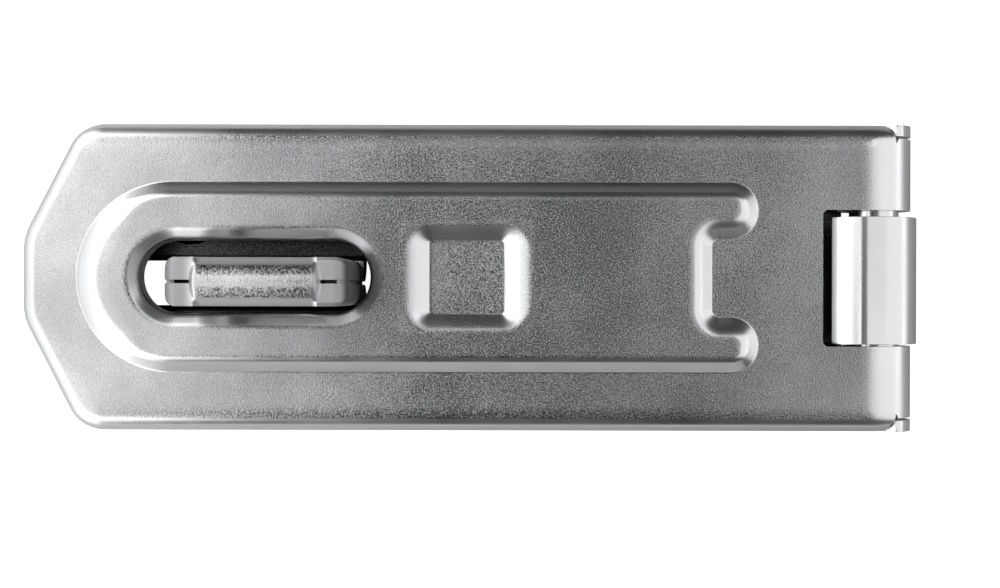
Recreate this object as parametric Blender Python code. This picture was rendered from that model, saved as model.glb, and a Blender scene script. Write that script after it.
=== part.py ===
"""Hasp and staple of pressed, zinc-plated sheet steel, closed over its staple.

Four pieces: the hinge leaf that is screwed down under the hasp, the hinge pin, the hasp arm that swings
over the staple, and the staple, which is one sheet folded double with a screw flange on each side.

Units are metres and +Z is up. The mounting surface is z = 0. The hinge is at +X, the staple at -X, and the
origin is the centre of the closed hasp's footprint.
"""

import math

import bmesh
import bpy
from mathutils import Matrix, Vector

MM = 0.001

# Sheets and the hinge
OVERALL_LENGTH = 80.0 * MM  # free end of the arm to the far side of the leaf's knuckle
ARM_SHEET = 1.0 * MM
LEAF_SHEET = 1.4 * MM
STAPLE_SHEET = 1.85 * MM
PIN_DIAMETER = 4.4 * MM
PIN_END_GAP = 0.3 * MM
PIN_CHAMFER = 0.3 * MM
ARM_BORE_CLEARANCE = 0.05 * MM
LEAF_BORE_CLEARANCE = 0.15 * MM
KNUCKLE_LENGTH = 11.3 * MM
KNUCKLE_LOW_GAP = 0.2 * MM
KNUCKLE_HIGH_GAP = 0.6 * MM
LEAF_CURL_END = math.radians(205)

# Hasp arm
ARM_WIDTH = 27.3 * MM
NOSE_WIDTH = 7.2 * MM
NOSE_SETBACK = 5.15 * MM
NOSE_RADIUS = 5.0 * MM
SHOULDER_RADIUS = 3.5 * MM
INNER_BEND_RADIUS = 0.25 * MM
ROLL_SLIT = 0.3 * MM
ROLL_SLIT_BITE = 0.1 * MM  # how far the slit runs into the side wall
ROLL_SLIT_START = 2.35 * MM
WINDOW_GAP = 1.45 * MM
WINDOW_RADIUS = 0.5 * MM

# Raised panel pressed into the arm
PANEL_WIDTH = 17.0 * MM
PANEL_HEIGHT = 1.2 * MM
PANEL_SETBACK = 5.0 * MM
PANEL_TO_HINGE = 10.85 * MM
PANEL_EDGE_RADIUS = 1.1 * MM
LOBE_RADIUS = 2.4 * MM
NOTCH_WIDTH = 6.8 * MM
NOTCH_DEPTH = 4.1 * MM
NOTCH_RADIUS = 0.8 * MM

# Slot for the staple, and the square pocket beside it
SLOT_REACH = 55.3 * MM  # hinge axis to the middle of the slot
SLOT_SIDE_CLEARANCE = 1.25 * MM
SLOT_END_CLEARANCE = 2.65 * MM
SLOT_LIP_RADIUS = 1.3 * MM
SLOT_LIP_DEPTH = 2.6 * MM
POCKET_REACH = 36.65 * MM  # hinge axis to the middle of the pocket
POCKET_LENGTH = 6.6 * MM
POCKET_WIDTH = 6.5 * MM
POCKET_CORNER = 0.4 * MM
POCKET_EDGE_RADIUS = 1.15 * MM

# Staple
STAPLE_OFFSET = 1.75 * MM  # from the slot's middle towards the hinge
STAPLE_SIDE_OFFSET = -0.5 * MM
STAPLE_HEIGHT = 20.0 * MM
LOOP_LENGTH = 15.0 * MM
FOLD_LENGTH = 9.4 * MM
FOLD_GAP = 0.3 * MM
FOLD_SHOULDER_DROP = 0.7 * MM
LOOP_CORNER_DROP = 0.3 * MM
LOOP_CORNER_RADIUS = 1.0 * MM
LOOP_END_RADIUS = 1.0 * MM
EYE_WIDTH = 9.0 * MM
EYE_BOTTOM = 6.4 * MM
EYE_BAR = 4.0 * MM
EYE_RADIUS = 3.0 * MM
FLANGE_BEND_RADIUS = 0.6 * MM
FLANGE_LENGTH = 26.4 * MM

# Screw plates: the leaf and the staple's two flanges
PLATE_SIDE_CLEARANCE = 1.25 * MM
PLATE_CORNER_RADIUS = 2.0 * MM
LEAF_ROLL_GAP = 0.7 * MM
DOOR_GAP = 2.9 * MM
SCREW_HOLE = 4.5 * MM
SCREW_HEAD = 7.0 * MM
SCREW_END = 4.7 * MM

# Worked out from the sizes above
PIN_RADIUS = PIN_DIAMETER / 2
ARM_BORE = PIN_RADIUS + ARM_BORE_CLEARANCE
ARM_ROLL = ARM_BORE + ARM_SHEET
LEAF_BORE = PIN_RADIUS + LEAF_BORE_CLEARANCE
LEAF_ROLL = LEAF_BORE + LEAF_SHEET
HINGE_X = OVERALL_LENGTH / 2 - LEAF_ROLL
HINGE_Z = LEAF_ROLL
ARM_LEFT = -OVERALL_LENGTH / 2
ARM_RIGHT = HINGE_X + ARM_ROLL
ARM_TOP = HINGE_Z + ARM_ROLL
ARM_FOOT = HINGE_Z - ARM_ROLL
PANEL_TOP = ARM_TOP + PANEL_HEIGHT
INNER_HALF_WIDTH = ARM_WIDTH / 2 - ARM_SHEET
WINDOW_LEFT = HINGE_X - LEAF_ROLL - WINDOW_GAP
WINDOW_WIDTH = KNUCKLE_LENGTH + KNUCKLE_LOW_GAP + KNUCKLE_HIGH_GAP
KNUCKLE_LOW = KNUCKLE_LOW_GAP - WINDOW_WIDTH / 2
KNUCKLE_HIGH = WINDOW_WIDTH / 2 - KNUCKLE_HIGH_GAP
STAPLE_THICKNESS = 2 * STAPLE_SHEET + FOLD_GAP
SLOT_X = HINGE_X - SLOT_REACH
SLOT_WIDTH = STAPLE_THICKNESS + 2 * SLOT_SIDE_CLEARANCE
SLOT_LENGTH = LOOP_LENGTH + 2 * SLOT_END_CLEARANCE
POCKET_X = HINGE_X - POCKET_REACH
STAPLE_X = SLOT_X + STAPLE_OFFSET
PLATE_HALF_WIDTH = INNER_HALF_WIDTH - PLATE_SIDE_CLEARANCE
FLANGE_INNER_EDGE = STAPLE_THICKNESS / 2 + FLANGE_BEND_RADIUS
SCREW_Y = (FLANGE_INNER_EDGE + PLATE_HALF_WIDTH) / 2  # the middle of a flange, and the same on the leaf
LEAF_LEFT = STAPLE_X + FLANGE_LENGTH / 2 + DOOR_GAP
LEAF_SHOULDER = HINGE_X - ARM_ROLL - LEAF_ROLL_GAP

# How far a cutter runs past what it cuts, how deep a joined block is sunk, and a step that keeps faces apart
OVERCUT = 2.0 * MM
SINK = 0.5 * MM
STEP = 0.1 * MM
CROSSING = 0.03 * MM  # how far a round cut reaches past a face, so that it crosses the face instead of touching it

# Facets
CORNER_STEPS = 8
EDGE_STEPS = 4
ROUND_STEPS = 48
WELD = 0.001 * MM
SMOOTH_ANGLE = math.radians(35)

# Placements of a drawn outline: flat, drawn in X and Z, drawn in Y and Z
FLAT = Matrix.Identity(4)
SIDE_ON = Matrix(((1, 0, 0, 0), (0, 0, -1, 0), (0, 1, 0, 0), (0, 0, 0, 1)))
END_ON = Matrix(((0, 0, 1, 0), (1, 0, 0, 0), (0, 1, 0, 0), (0, 0, 0, 1)))


# Outlines

def inset(corners, distance):
    """An anticlockwise outline of (x, y, radius) corners moved inwards, or outwards if distance is negative."""
    moved = []
    for i, (x, y, radius) in enumerate(corners):
        here = Vector((x, y))
        before = (here - Vector(corners[i - 1][:2])).normalized()
        after = (Vector(corners[(i + 1) % len(corners)][:2]) - here).normalized()
        normals = Vector((-before.y, before.x)), Vector((-after.y, after.x))
        corner = here + (normals[0] + normals[1]) * (distance / (1 + normals[0].dot(normals[1])))
        convex = before.cross(after) > 0
        moved.append((corner.x, corner.y, max(radius - distance if convex else radius + distance, 0)))
    return moved


def arc(centre, radius, start, end, steps):
    """Points on an arc, both ends included."""
    angles = [start + (end - start) * i / steps for i in range(steps + 1)]
    return [(centre[0] + radius * math.cos(a), centre[1] + radius * math.sin(a)) for a in angles]


def rounded(corners, steps=CORNER_STEPS):
    """The points of an outline of (x, y, radius) corners, with each corner rounded."""
    points = []
    for i, (x, y, radius) in enumerate(corners):
        here = Vector((x, y))
        before = (here - Vector(corners[i - 1][:2])).normalized()
        after = (Vector(corners[(i + 1) % len(corners)][:2]) - here).normalized()
        turn = math.atan2(before.cross(after), before.dot(after))
        if radius <= WELD or abs(turn) < 1e-6:
            points.append((x, y))
            continue
        start = here - before * radius * math.tan(abs(turn) / 2)
        side = math.copysign(1, turn)
        centre = start + Vector((-before.y, before.x)) * side * radius
        first = math.atan2(start.y - centre.y, start.x - centre.x)
        points += arc(centre, radius, first, first + turn, steps)
    return [p for i, p in enumerate(points) if math.dist(p, points[i - 1]) > WELD]


def rectangle(x_low, x_high, y_low, y_high, radius=0.0):
    """Corners of an upright rectangle."""
    return [(x_low, y_low, radius), (x_high, y_low, radius), (x_high, y_high, radius), (x_low, y_high, radius)]


def about(x, y, length, width, radius):
    """Corners of a rectangle about its middle."""
    return rectangle(x - length / 2, x + length / 2, y - width / 2, y + width / 2, radius)


# Solids

def collection(name):
    made = bpy.data.collections.new(name)
    bpy.context.scene.collection.children.link(made)
    return made


def mesh_object(name, bm, group):
    bmesh.ops.recalc_face_normals(bm, faces=bm.faces)
    mesh = bpy.data.meshes.new(name)
    bm.to_mesh(mesh)
    bm.free()
    obj = bpy.data.objects.new(name, mesh)
    group.objects.link(obj)
    return obj


def extruded(name, points, low, high, group, placement=FLAT, edges=None, edge_size=0.0, edge_steps=EDGE_STEPS):
    """A flat outline pulled from low to high along its normal. edges(a, b) picks the edges to round."""
    curve = bpy.data.curves.new(name, "CURVE")
    curve.dimensions = "2D"
    curve.fill_mode = "BOTH"
    curve.extrude = (high - low) / 2
    spline = curve.splines.new("POLY")
    spline.points.add(len(points) - 1)
    for point, (x, y) in zip(spline.points, points):
        point.co = (x, y, 0, 1)
    spline.use_cyclic_u = True
    drawn = bpy.data.objects.new(name, curve)
    group.objects.link(drawn)
    drawn.matrix_world = placement @ Matrix.Translation((0, 0, (low + high) / 2))
    bpy.context.view_layer.update()
    graph = bpy.context.evaluated_depsgraph_get()
    mesh = bpy.data.meshes.new_from_object(drawn.evaluated_get(graph))
    mesh.transform(drawn.matrix_world)
    bpy.data.objects.remove(drawn)

    bm = bmesh.new()
    bm.from_mesh(mesh)
    bpy.data.meshes.remove(mesh)
    bmesh.ops.remove_doubles(bm, verts=bm.verts, dist=WELD)
    bmesh.ops.recalc_face_normals(bm, faces=bm.faces)
    bmesh.ops.dissolve_limit(bm, angle_limit=math.radians(0.5), verts=bm.verts, edges=bm.edges)
    if edges:
        picked = [e for e in bm.edges if edges(e.verts[0].co, e.verts[1].co)]
        bmesh.ops.bevel(bm, geom=picked, offset=edge_size, offset_type="OFFSET", segments=edge_steps,
                        profile=0.5, affect="EDGES")
    return mesh_object(name, bm, group)


def edge_at_height(height):
    """Picks the rim of an upright block's face at this height."""
    return lambda a, b: abs(a.z - height) < WELD and abs(b.z - height) < WELD


def upright_edge_at(x, half_width):
    """Picks the upright corner edges of a plate's end."""
    def pick(a, b):
        upright = abs(a.x - b.x) < WELD and abs(a.y - b.y) < WELD
        return upright and abs(a.x - x) < WELD and abs(abs(a.y) - half_width) < WELD
    return pick


def flared(name, corners, floor, top, radius, group):
    """A block with its upper edge flared outwards in a quarter round, as the hole in a drawn sheet has."""
    sections = [(0.0, floor)]
    sections += [(radius * (1 - math.cos(a)), top - radius + radius * math.sin(a))
                 for a in (math.pi / 2 * i / EDGE_STEPS for i in range(EDGE_STEPS + 1))]
    sections.append((radius, top + OVERCUT))
    bm = bmesh.new()
    loops = []
    for offset, z in sections:
        verts = [bm.verts.new((x, y, z)) for x, y in rounded(inset(corners, -offset))]
        loops.append([bm.edges.new((verts[i - 1], verts[i])) for i in range(len(verts))])
    for lower, upper in zip(loops, loops[1:]):
        bmesh.ops.bridge_loops(bm, edges=lower + upper)
    bmesh.ops.edgeloop_fill(bm, edges=loops[0])
    bmesh.ops.edgeloop_fill(bm, edges=loops[-1])
    return mesh_object(name, bm, group)


def turned(name, radius, low, high, group, chamfer=0.0):
    """A round bar along Y."""
    bm = bmesh.new()
    bmesh.ops.create_cone(bm, cap_ends=True, segments=ROUND_STEPS, radius1=radius, radius2=radius,
                          depth=high - low)
    if chamfer:
        rims = [e for e in bm.edges if abs(e.verts[0].co.z - e.verts[1].co.z) < WELD]
        bmesh.ops.bevel(bm, geom=rims, offset=chamfer, segments=1, affect="EDGES")
    middle = Vector((HINGE_X, (low + high) / 2, HINGE_Z))
    bm.transform(Matrix.Translation(middle) @ SIDE_ON)
    return mesh_object(name, bm, group)


def screw_hole(name, x, y, sheet, group):
    """A clearance hole with a countersink that opens upwards."""
    depth = (SCREW_HEAD - SCREW_HOLE) / 2
    bm = bmesh.new()
    profile = [(0.0, -OVERCUT), (SCREW_HOLE / 2, -OVERCUT), (SCREW_HOLE / 2, sheet - depth),
               (SCREW_HEAD / 2, sheet), (SCREW_HEAD / 2, sheet + OVERCUT), (0.0, sheet + OVERCUT)]
    verts = [bm.verts.new((x + r, y, z)) for r, z in profile]
    line = [bm.edges.new(pair) for pair in zip(verts, verts[1:])]
    bmesh.ops.spin(bm, geom=verts + line, cent=(x, y, 0), axis=(0, 0, 1), angle=math.tau,
                   steps=ROUND_STEPS // 2, use_merge=True)
    bmesh.ops.remove_doubles(bm, verts=bm.verts, dist=WELD)
    return mesh_object(name, bm, group)


def combine(target, tool, operation):
    """Cuts the tool from the target, or joins it on."""
    modifier = target.modifiers.new(tool.name, "BOOLEAN")
    modifier.operation = operation
    modifier.object = tool
    tool.hide_render = True
    tool.display_type = "WIRE"


def finish(obj, material):
    """Applies the cuts and joins, shades the round faces smooth and gives the piece its material."""
    bpy.context.view_layer.update()
    graph = bpy.context.evaluated_depsgraph_get()
    mesh = bpy.data.meshes.new_from_object(obj.evaluated_get(graph))
    obj.modifiers.clear()
    obj.data = mesh
    mesh.name = obj.name
    mesh.shade_smooth()
    mesh.set_sharp_from_angle(angle=SMOOTH_ANGLE)
    mesh.materials.clear()
    mesh.materials.append(material)
    return obj


def steel(name, colour, roughness):
    """A plated steel finish."""
    material = bpy.data.materials.new(name)
    material.use_nodes = True
    shader = material.node_tree.nodes["Principled BSDF"]
    shader.inputs["Base Color"].default_value = (*colour, 1)
    shader.inputs["Metallic"].default_value = 1
    shader.inputs["Roughness"].default_value = roughness
    return material


# The pieces

def arm_outline():
    """Plan of the arm: a blunt nose at its free end, and square at the hinge."""
    half = ARM_WIDTH / 2
    return [(ARM_RIGHT, -half, 0), (ARM_RIGHT, half, 0),
            (ARM_LEFT + NOSE_SETBACK, half, SHOULDER_RADIUS), (ARM_LEFT, NOSE_WIDTH / 2, NOSE_RADIUS),
            (ARM_LEFT, -NOSE_WIDTH / 2, NOSE_RADIUS), (ARM_LEFT + NOSE_SETBACK, -half, SHOULDER_RADIUS)]


def panel_outline():
    """Plan of the raised panel: round at the free end, with two lobes and a notch towards the hinge."""
    half, notch = PANEL_WIDTH / 2, NOTCH_WIDTH / 2
    left, right = ARM_LEFT + PANEL_SETBACK, HINGE_X - PANEL_TO_HINGE
    lower = [(right, -half, LOBE_RADIUS), (right, -notch, LOBE_RADIUS),
             (right - NOTCH_DEPTH, -notch, NOTCH_RADIUS)]
    upper = [(x, -y, radius) for x, y, radius in reversed(lower)]
    return lower + upper + [(left, half, half), (left, -half, half)]


def hollow():
    """Plan of the space under the arm, as far as the rolls."""
    corners = inset(arm_outline(), ARM_SHEET)
    return [(HINGE_X - 3 * STEP, y, 0) for _, y, _ in corners[:2]] + corners[2:]


def end_round():
    """What the arm's square end loses outside its rolls, drawn in X and Z."""
    far, high, low = ARM_RIGHT + OVERCUT, ARM_TOP + OVERCUT, ARM_FOOT - OVERCUT
    edge = arc((HINGE_X, HINGE_Z), ARM_ROLL, -math.pi / 2, math.pi / 2, ROUND_STEPS // 2)
    return [(HINGE_X, low)] + edge + [(HINGE_X, high), (far, high), (far, low)]


def roll_tail():
    """The last quarter of the rolls, which the hollow leaves standing, drawn in X and Z."""
    core = ARM_BORE / 2
    outer = arc((HINGE_X, HINGE_Z), ARM_ROLL, math.pi, math.pi * 1.5, ROUND_STEPS // 4)
    return outer + [(HINGE_X + core, ARM_FOOT), (HINGE_X + core, HINGE_Z - core), (HINGE_X - core, HINGE_Z)]


def roll_slit():
    """The relief cut that frees a roll from the side wall beside it, drawn in X and Z."""
    far, high, low = ARM_RIGHT + OVERCUT, ARM_TOP + OVERCUT, ARM_FOOT - OVERCUT
    start, tail, step = HINGE_X + ROLL_SLIT_START, HINGE_X - ARM_ROLL - SINK, HINGE_Z + STEP
    return [(tail, low), (far, low), (far, high), (start, high), (start, step), (tail, step)]


def make_arm(parts, cutters):
    """The pressed arm: a shallow pan with a raised panel, rolled round the pin at its end."""
    inner = INNER_HALF_WIDTH
    rim = edge_at_height(ARM_TOP)
    arm = extruded("hasp_arm", rounded(arm_outline()), ARM_FOOT, ARM_TOP, parts,
                   edges=lambda a, b: rim(a, b) and min(a.x, b.x) < ARM_RIGHT - WELD,
                   edge_size=INNER_BEND_RADIUS + ARM_SHEET)
    panel = extruded("panel_block", rounded(panel_outline()), ARM_TOP - SINK, PANEL_TOP, cutters,
                     edges=edge_at_height(PANEL_TOP), edge_size=PANEL_EDGE_RADIUS)
    ceiling = ARM_TOP - ARM_SHEET
    ceiling_rim = edge_at_height(ceiling)
    arm_hollow = extruded("arm_hollow", rounded(hollow()), ARM_FOOT - OVERCUT, ceiling, cutters,
                          edges=lambda a, b: ceiling_rim(a, b) and min(a.x, b.x) < HINGE_X - OVERCUT,
                          edge_size=INNER_BEND_RADIUS)
    tail = extruded("roll_tail", roll_tail(), STEP / 2 - inner, inner - STEP / 2, cutters, SIDE_ON)
    combine(arm_hollow, tail, "DIFFERENCE")
    panel_hollow = extruded("panel_hollow", rounded(inset(panel_outline(), ARM_SHEET)),
                            ceiling - SINK, PANEL_TOP - ARM_SHEET, cutters)

    slot = about(SLOT_X, 0, SLOT_LENGTH, SLOT_WIDTH, SLOT_WIDTH / 2)
    pocket = about(POCKET_X, 0, POCKET_LENGTH, POCKET_WIDTH, POCKET_CORNER)
    sunk = PANEL_TOP - SINK
    lip = extruded("slot_lip", rounded(inset(slot, -ARM_SHEET)), PANEL_TOP - SLOT_LIP_DEPTH, sunk, cutters)
    pocket_block = extruded("pocket_block", rounded(inset(pocket, -ARM_SHEET)), ceiling, sunk, cutters)
    slot_cut = flared("slot_cut", slot, ARM_FOOT, PANEL_TOP, SLOT_LIP_RADIUS, cutters)
    pocket_cut = flared("pocket_cut", pocket, ARM_TOP, PANEL_TOP, POCKET_EDGE_RADIUS, cutters)

    end_cut = extruded("end_round", end_round(), -ARM_WIDTH, ARM_WIDTH, cutters, SIDE_ON)
    bore = turned("arm_bore", ARM_BORE, STEP - inner, inner - STEP, cutters)
    window = extruded("knuckle_window", rounded(about((WINDOW_LEFT + ARM_RIGHT + OVERCUT) / 2, 0,
                      ARM_RIGHT + OVERCUT - WINDOW_LEFT, WINDOW_WIDTH, WINDOW_RADIUS)),
                      -OVERCUT, ARM_TOP + OVERCUT, cutters)

    combine(arm, panel, "UNION")
    for tool in (arm_hollow, panel_hollow):
        combine(arm, tool, "DIFFERENCE")
    for tool in (lip, pocket_block):
        combine(arm, tool, "UNION")
    for tool in (slot_cut, pocket_cut, end_cut, bore, window):
        combine(arm, tool, "DIFFERENCE")
    slit_end = inner + ROLL_SLIT_BITE
    for name, low in (("upper", -slit_end), ("lower", slit_end - ROLL_SLIT)):
        slit = extruded(f"{name}_slit", roll_slit(), low, low + ROLL_SLIT, cutters, SIDE_ON)
        combine(arm, slit, "DIFFERENCE")
    return arm


def leaf_profile():
    """Side view of the leaf: a flat sheet curled up round the pin."""
    centre = (HINGE_X, HINGE_Z)
    outer = arc(centre, LEAF_ROLL, -math.pi / 2, LEAF_CURL_END, ROUND_STEPS)
    inner = arc(centre, LEAF_BORE, LEAF_CURL_END, -math.pi / 2, ROUND_STEPS)
    return [(LEAF_LEFT, 0)] + outer + inner + [(LEAF_LEFT, LEAF_SHEET)]


def make_leaf(parts, cutters):
    """The hinge leaf: a screw plate with one knuckle curled round the middle of the pin."""
    half = PLATE_HALF_WIDTH
    leaf = extruded("hinge_leaf", leaf_profile(), -half, half, parts, SIDE_ON,
                    edges=upright_edge_at(LEAF_LEFT, half), edge_size=PLATE_CORNER_RADIUS)
    far, high = OVERALL_LENGTH / 2 + OVERCUT, ARM_TOP + OVERCUT
    for name, y_low, y_high in (("low", -ARM_WIDTH, KNUCKLE_LOW), ("high", KNUCKLE_HIGH, ARM_WIDTH)):
        beside = rounded(rectangle(LEAF_SHOULDER, far, y_low, y_high))
        combine(leaf, extruded(f"{name}_side_of_knuckle", beside, -OVERCUT, high, cutters), "DIFFERENCE")
    for x in (LEAF_LEFT + SCREW_END, LEAF_SHOULDER - SCREW_END):
        for y in (-SCREW_Y, SCREW_Y):
            combine(leaf, screw_hole("leaf_screw_hole", x, y, LEAF_SHEET, cutters), "DIFFERENCE")
    return leaf


def make_pin(parts):
    """The hinge pin, held between the arm's side walls."""
    half = INNER_HALF_WIDTH - PIN_END_GAP
    return turned("hinge_pin", PIN_RADIUS, -half, half, parts, PIN_CHAMFER)


def staple_section():
    """End view of the staple: one sheet folded double, with its edges turned out as flanges."""
    outer, gap, bend = STAPLE_THICKNESS / 2, FOLD_GAP / 2, FLANGE_BEND_RADIUS
    fold = STAPLE_HEIGHT - outer
    heel = bend + STAPLE_SHEET
    half = [(PLATE_HALF_WIDTH, 0), (PLATE_HALF_WIDTH, STAPLE_SHEET)]
    half += arc((outer + bend, heel), bend, -math.pi / 2, -math.pi, EDGE_STEPS)
    half += arc((0, fold), outer, 0, math.pi / 2, CORNER_STEPS)
    slit = arc((0, fold), gap, math.pi / 2, 0, EDGE_STEPS)
    slit += arc((gap + heel, heel), heel, math.pi, math.pi * 1.5, CORNER_STEPS)
    left = [(-y, z) for y, z in reversed(half[:-1])]
    left_slit = [(-y, z) for y, z in reversed(slit[1:])]
    return half + left + left_slit + slit


def loop_trim():
    """What the folded sheet loses outside the staple's loop, drawn in X and Z."""
    far, high = FLANGE_LENGTH, STAPLE_HEIGHT + OVERCUT
    shoulder = STAPLE_HEIGHT - FOLD_SHOULDER_DROP
    fold, end = FOLD_LENGTH / 2, LOOP_LENGTH / 2
    right = [(end, -OVERCUT, 0), (end, shoulder - LOOP_CORNER_DROP, LOOP_CORNER_RADIUS),
             (fold, shoulder, 0), (fold, STAPLE_HEIGHT + SINK, 0)]
    left = [(-x, z, radius) for x, z, radius in reversed(right)]
    frame = [(-far, -OVERCUT, 0), (-far, high, 0), (far, high, 0), (far, -OVERCUT, 0)]
    corners = frame + right + left
    return rounded(list(reversed(corners)))


def loop_end():
    """What the loop's right-hand end loses in plan, so that it clears the slot's round end."""
    end, half, radius = LOOP_LENGTH / 2, STAPLE_THICKNESS / 2, LOOP_END_RADIUS
    upper = arc((end - radius, half - radius), radius + CROSSING, math.pi / 2, 0, EDGE_STEPS)
    lower = [(x, -y) for x, y in reversed(upper)]
    far = [(end + OVERCUT, -half - OVERCUT), (end + OVERCUT, half + OVERCUT)]
    return [(end - radius, half + OVERCUT)] + upper + lower + [(end - radius, -half - OVERCUT)] + far


def make_staple(parts, cutters):
    """The staple about its own middle: a folded loop with an eye, and a screw flange on each side."""
    ends = -FLANGE_LENGTH / 2, FLANGE_LENGTH / 2
    corner = [upright_edge_at(x, PLATE_HALF_WIDTH) for x in ends]
    staple = extruded("staple", staple_section(), *ends, parts, END_ON,
                      edges=lambda a, b: any(pick(a, b) for pick in corner), edge_size=PLATE_CORNER_RADIUS)
    trim = extruded("loop_trim", loop_trim(), -FLANGE_INNER_EDGE, FLANGE_INNER_EDGE, cutters, SIDE_ON)
    eye_corners = rectangle(-EYE_WIDTH / 2, EYE_WIDTH / 2, EYE_BOTTOM, STAPLE_HEIGHT - EYE_BAR, EYE_RADIUS)
    eye = extruded("shackle_eye", rounded(eye_corners), -ARM_WIDTH, ARM_WIDTH, cutters, SIDE_ON)
    right = loop_end()
    left = [(-x, y) for x, y in reversed(right)]
    bend_top = STAPLE_SHEET + FLANGE_BEND_RADIUS + STEP
    rounds = [extruded(f"loop_{name}_end", outline, bend_top, STAPLE_HEIGHT + OVERCUT, cutters)
              for name, outline in (("right", right), ("left", left))]
    holes = [screw_hole("staple_screw_hole", x, y, STAPLE_SHEET, cutters)
             for x in (ends[0] + SCREW_END, ends[1] - SCREW_END) for y in (-SCREW_Y, SCREW_Y)]
    for tool in (trim, eye, *rounds, *holes):
        combine(staple, tool, "DIFFERENCE")
    return staple


def main():
    for obj in list(bpy.data.objects):
        bpy.data.objects.remove(obj)
    parts, cutters = collection("hasp_and_staple"), collection("cutters")
    arm = finish(make_arm(parts, cutters), steel("arm_zinc", (0.60, 0.61, 0.62), 0.36))
    leaf = finish(make_leaf(parts, cutters), steel("leaf_zinc", (0.66, 0.67, 0.68), 0.26))
    pin = finish(make_pin(parts), steel("pin_zinc", (0.70, 0.70, 0.70), 0.20))
    staple = finish(make_staple(parts, cutters), steel("staple_zinc", (0.63, 0.64, 0.63), 0.30))
    staple.location = (STAPLE_X, STAPLE_SIDE_OFFSET, 0)

    hinge = bpy.data.objects.new("hinge_axis", None)
    parts.objects.link(hinge)
    hinge.location = (HINGE_X, 0, HINGE_Z)
    hinge.parent = leaf
    bpy.context.view_layer.update()
    for piece in (arm, pin):
        piece.parent = hinge
        piece.matrix_parent_inverse = hinge.matrix_world.inverted()


main()
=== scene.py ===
"""Looks of the hasp and staple: pressed sheet steel with a bright zinc plate, seen from straight above.

Each piece is built finer than its CAD solid and stands in for it. Lengths are in metres, in the CAD's frame:
the mounting surface is z = 0, the hinge is at +X and the staple at -X.
"""

import math

import bmesh
import bpy
from mathutils import Matrix, Vector


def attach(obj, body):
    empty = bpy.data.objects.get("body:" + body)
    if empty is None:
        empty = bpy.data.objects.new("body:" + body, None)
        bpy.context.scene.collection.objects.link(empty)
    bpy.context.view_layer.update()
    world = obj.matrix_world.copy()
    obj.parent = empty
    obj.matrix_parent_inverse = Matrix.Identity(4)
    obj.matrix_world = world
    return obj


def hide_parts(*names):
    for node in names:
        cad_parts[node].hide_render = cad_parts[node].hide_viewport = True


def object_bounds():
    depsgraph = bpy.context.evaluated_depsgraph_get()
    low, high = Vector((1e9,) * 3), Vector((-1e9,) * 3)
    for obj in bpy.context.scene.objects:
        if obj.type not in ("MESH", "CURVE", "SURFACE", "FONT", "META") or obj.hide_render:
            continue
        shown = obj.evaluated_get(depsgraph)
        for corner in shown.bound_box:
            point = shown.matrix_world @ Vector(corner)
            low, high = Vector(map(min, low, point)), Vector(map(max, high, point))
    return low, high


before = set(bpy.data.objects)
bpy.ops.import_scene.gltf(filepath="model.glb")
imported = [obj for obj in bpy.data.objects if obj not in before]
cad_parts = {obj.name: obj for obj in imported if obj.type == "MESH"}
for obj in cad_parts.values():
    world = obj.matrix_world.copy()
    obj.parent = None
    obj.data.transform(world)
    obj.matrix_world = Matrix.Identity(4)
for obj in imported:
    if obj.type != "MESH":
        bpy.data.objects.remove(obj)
CAD_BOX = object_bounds()

MM = 0.001

# Sheets and the hinge
OVERALL_LENGTH = 80.0 * MM
ARM_SHEET = 1.0 * MM
LEAF_SHEET = 1.4 * MM
STAPLE_SHEET = 1.85 * MM
PIN_RADIUS = 2.2 * MM
PIN_HALF_LENGTH = 12.35 * MM
PIN_DOME = 0.3 * MM
ARM_ROLL = 3.25 * MM
LEAF_BORE = 2.35 * MM
LEAF_ROLL = 3.75 * MM
LEAF_CURL_END = math.radians(88)
LEAF_FLAT = 1.45 * MM  # a flat along the curl's top
LEAF_CREASE = math.radians(116.5)
LEAF_CREASE_RADIUS = 1.5 * MM
LEAF_TAIL_END = math.radians(131)
LEAF_TAIL_RADIUS = 10.5 * MM  # the last of the curl, which opens
HINGE_X = OVERALL_LENGTH / 2 - LEAF_ROLL
HINGE_Z = LEAF_ROLL
KNUCKLE_LOW = -5.85 * MM
KNUCKLE_HIGH = 5.45 * MM

# Hasp arm
ARM_LEFT = -OVERALL_LENGTH / 2
ARM_WIDTH = 27.3 * MM
ARM_TOP = HINGE_Z + ARM_ROLL
ARM_FOOT = HINGE_Z - ARM_ROLL
NOSE_WIDTH = 7.2 * MM
NOSE_SETBACK = 5.15 * MM
NOSE_RADIUS = 5.0 * MM
SHOULDER_RADIUS = 3.5 * MM
LEAD_RADIUS = 5.0 * MM  # of the gentle start of the folded edge
LEAD_ANGLE = math.radians(15)
LEAD_LOSS = 0.97  # share of the lead's angle that is gone where the slit starts
BEND_RADIUS = 1.6 * MM
ROLL_LEAD = 1.25 * MM  # how far short of the hinge's middle the roll starts
ROLL_START = HINGE_X - ROLL_LEAD
ROLL_END = math.radians(270)
ROLL_SIDE = 12.42 * MM
SLIT_ANGLE = math.radians(36)
EAR_CORNER = ((0.02, 0.5 * MM), (0.08, 0.12 * MM))  # (radians past the slit, depth) round the ear's corner
EAR_ROUND = 0.16  # radians past the slit where the ear is as round as the roll
WINDOW_GAP = 1.45 * MM
WINDOW_LEFT = HINGE_X - LEAF_ROLL - WINDOW_GAP
WINDOW_HALF_WIDTH = 6.05 * MM
WINDOW_RADIUS = 0.5 * MM

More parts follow.
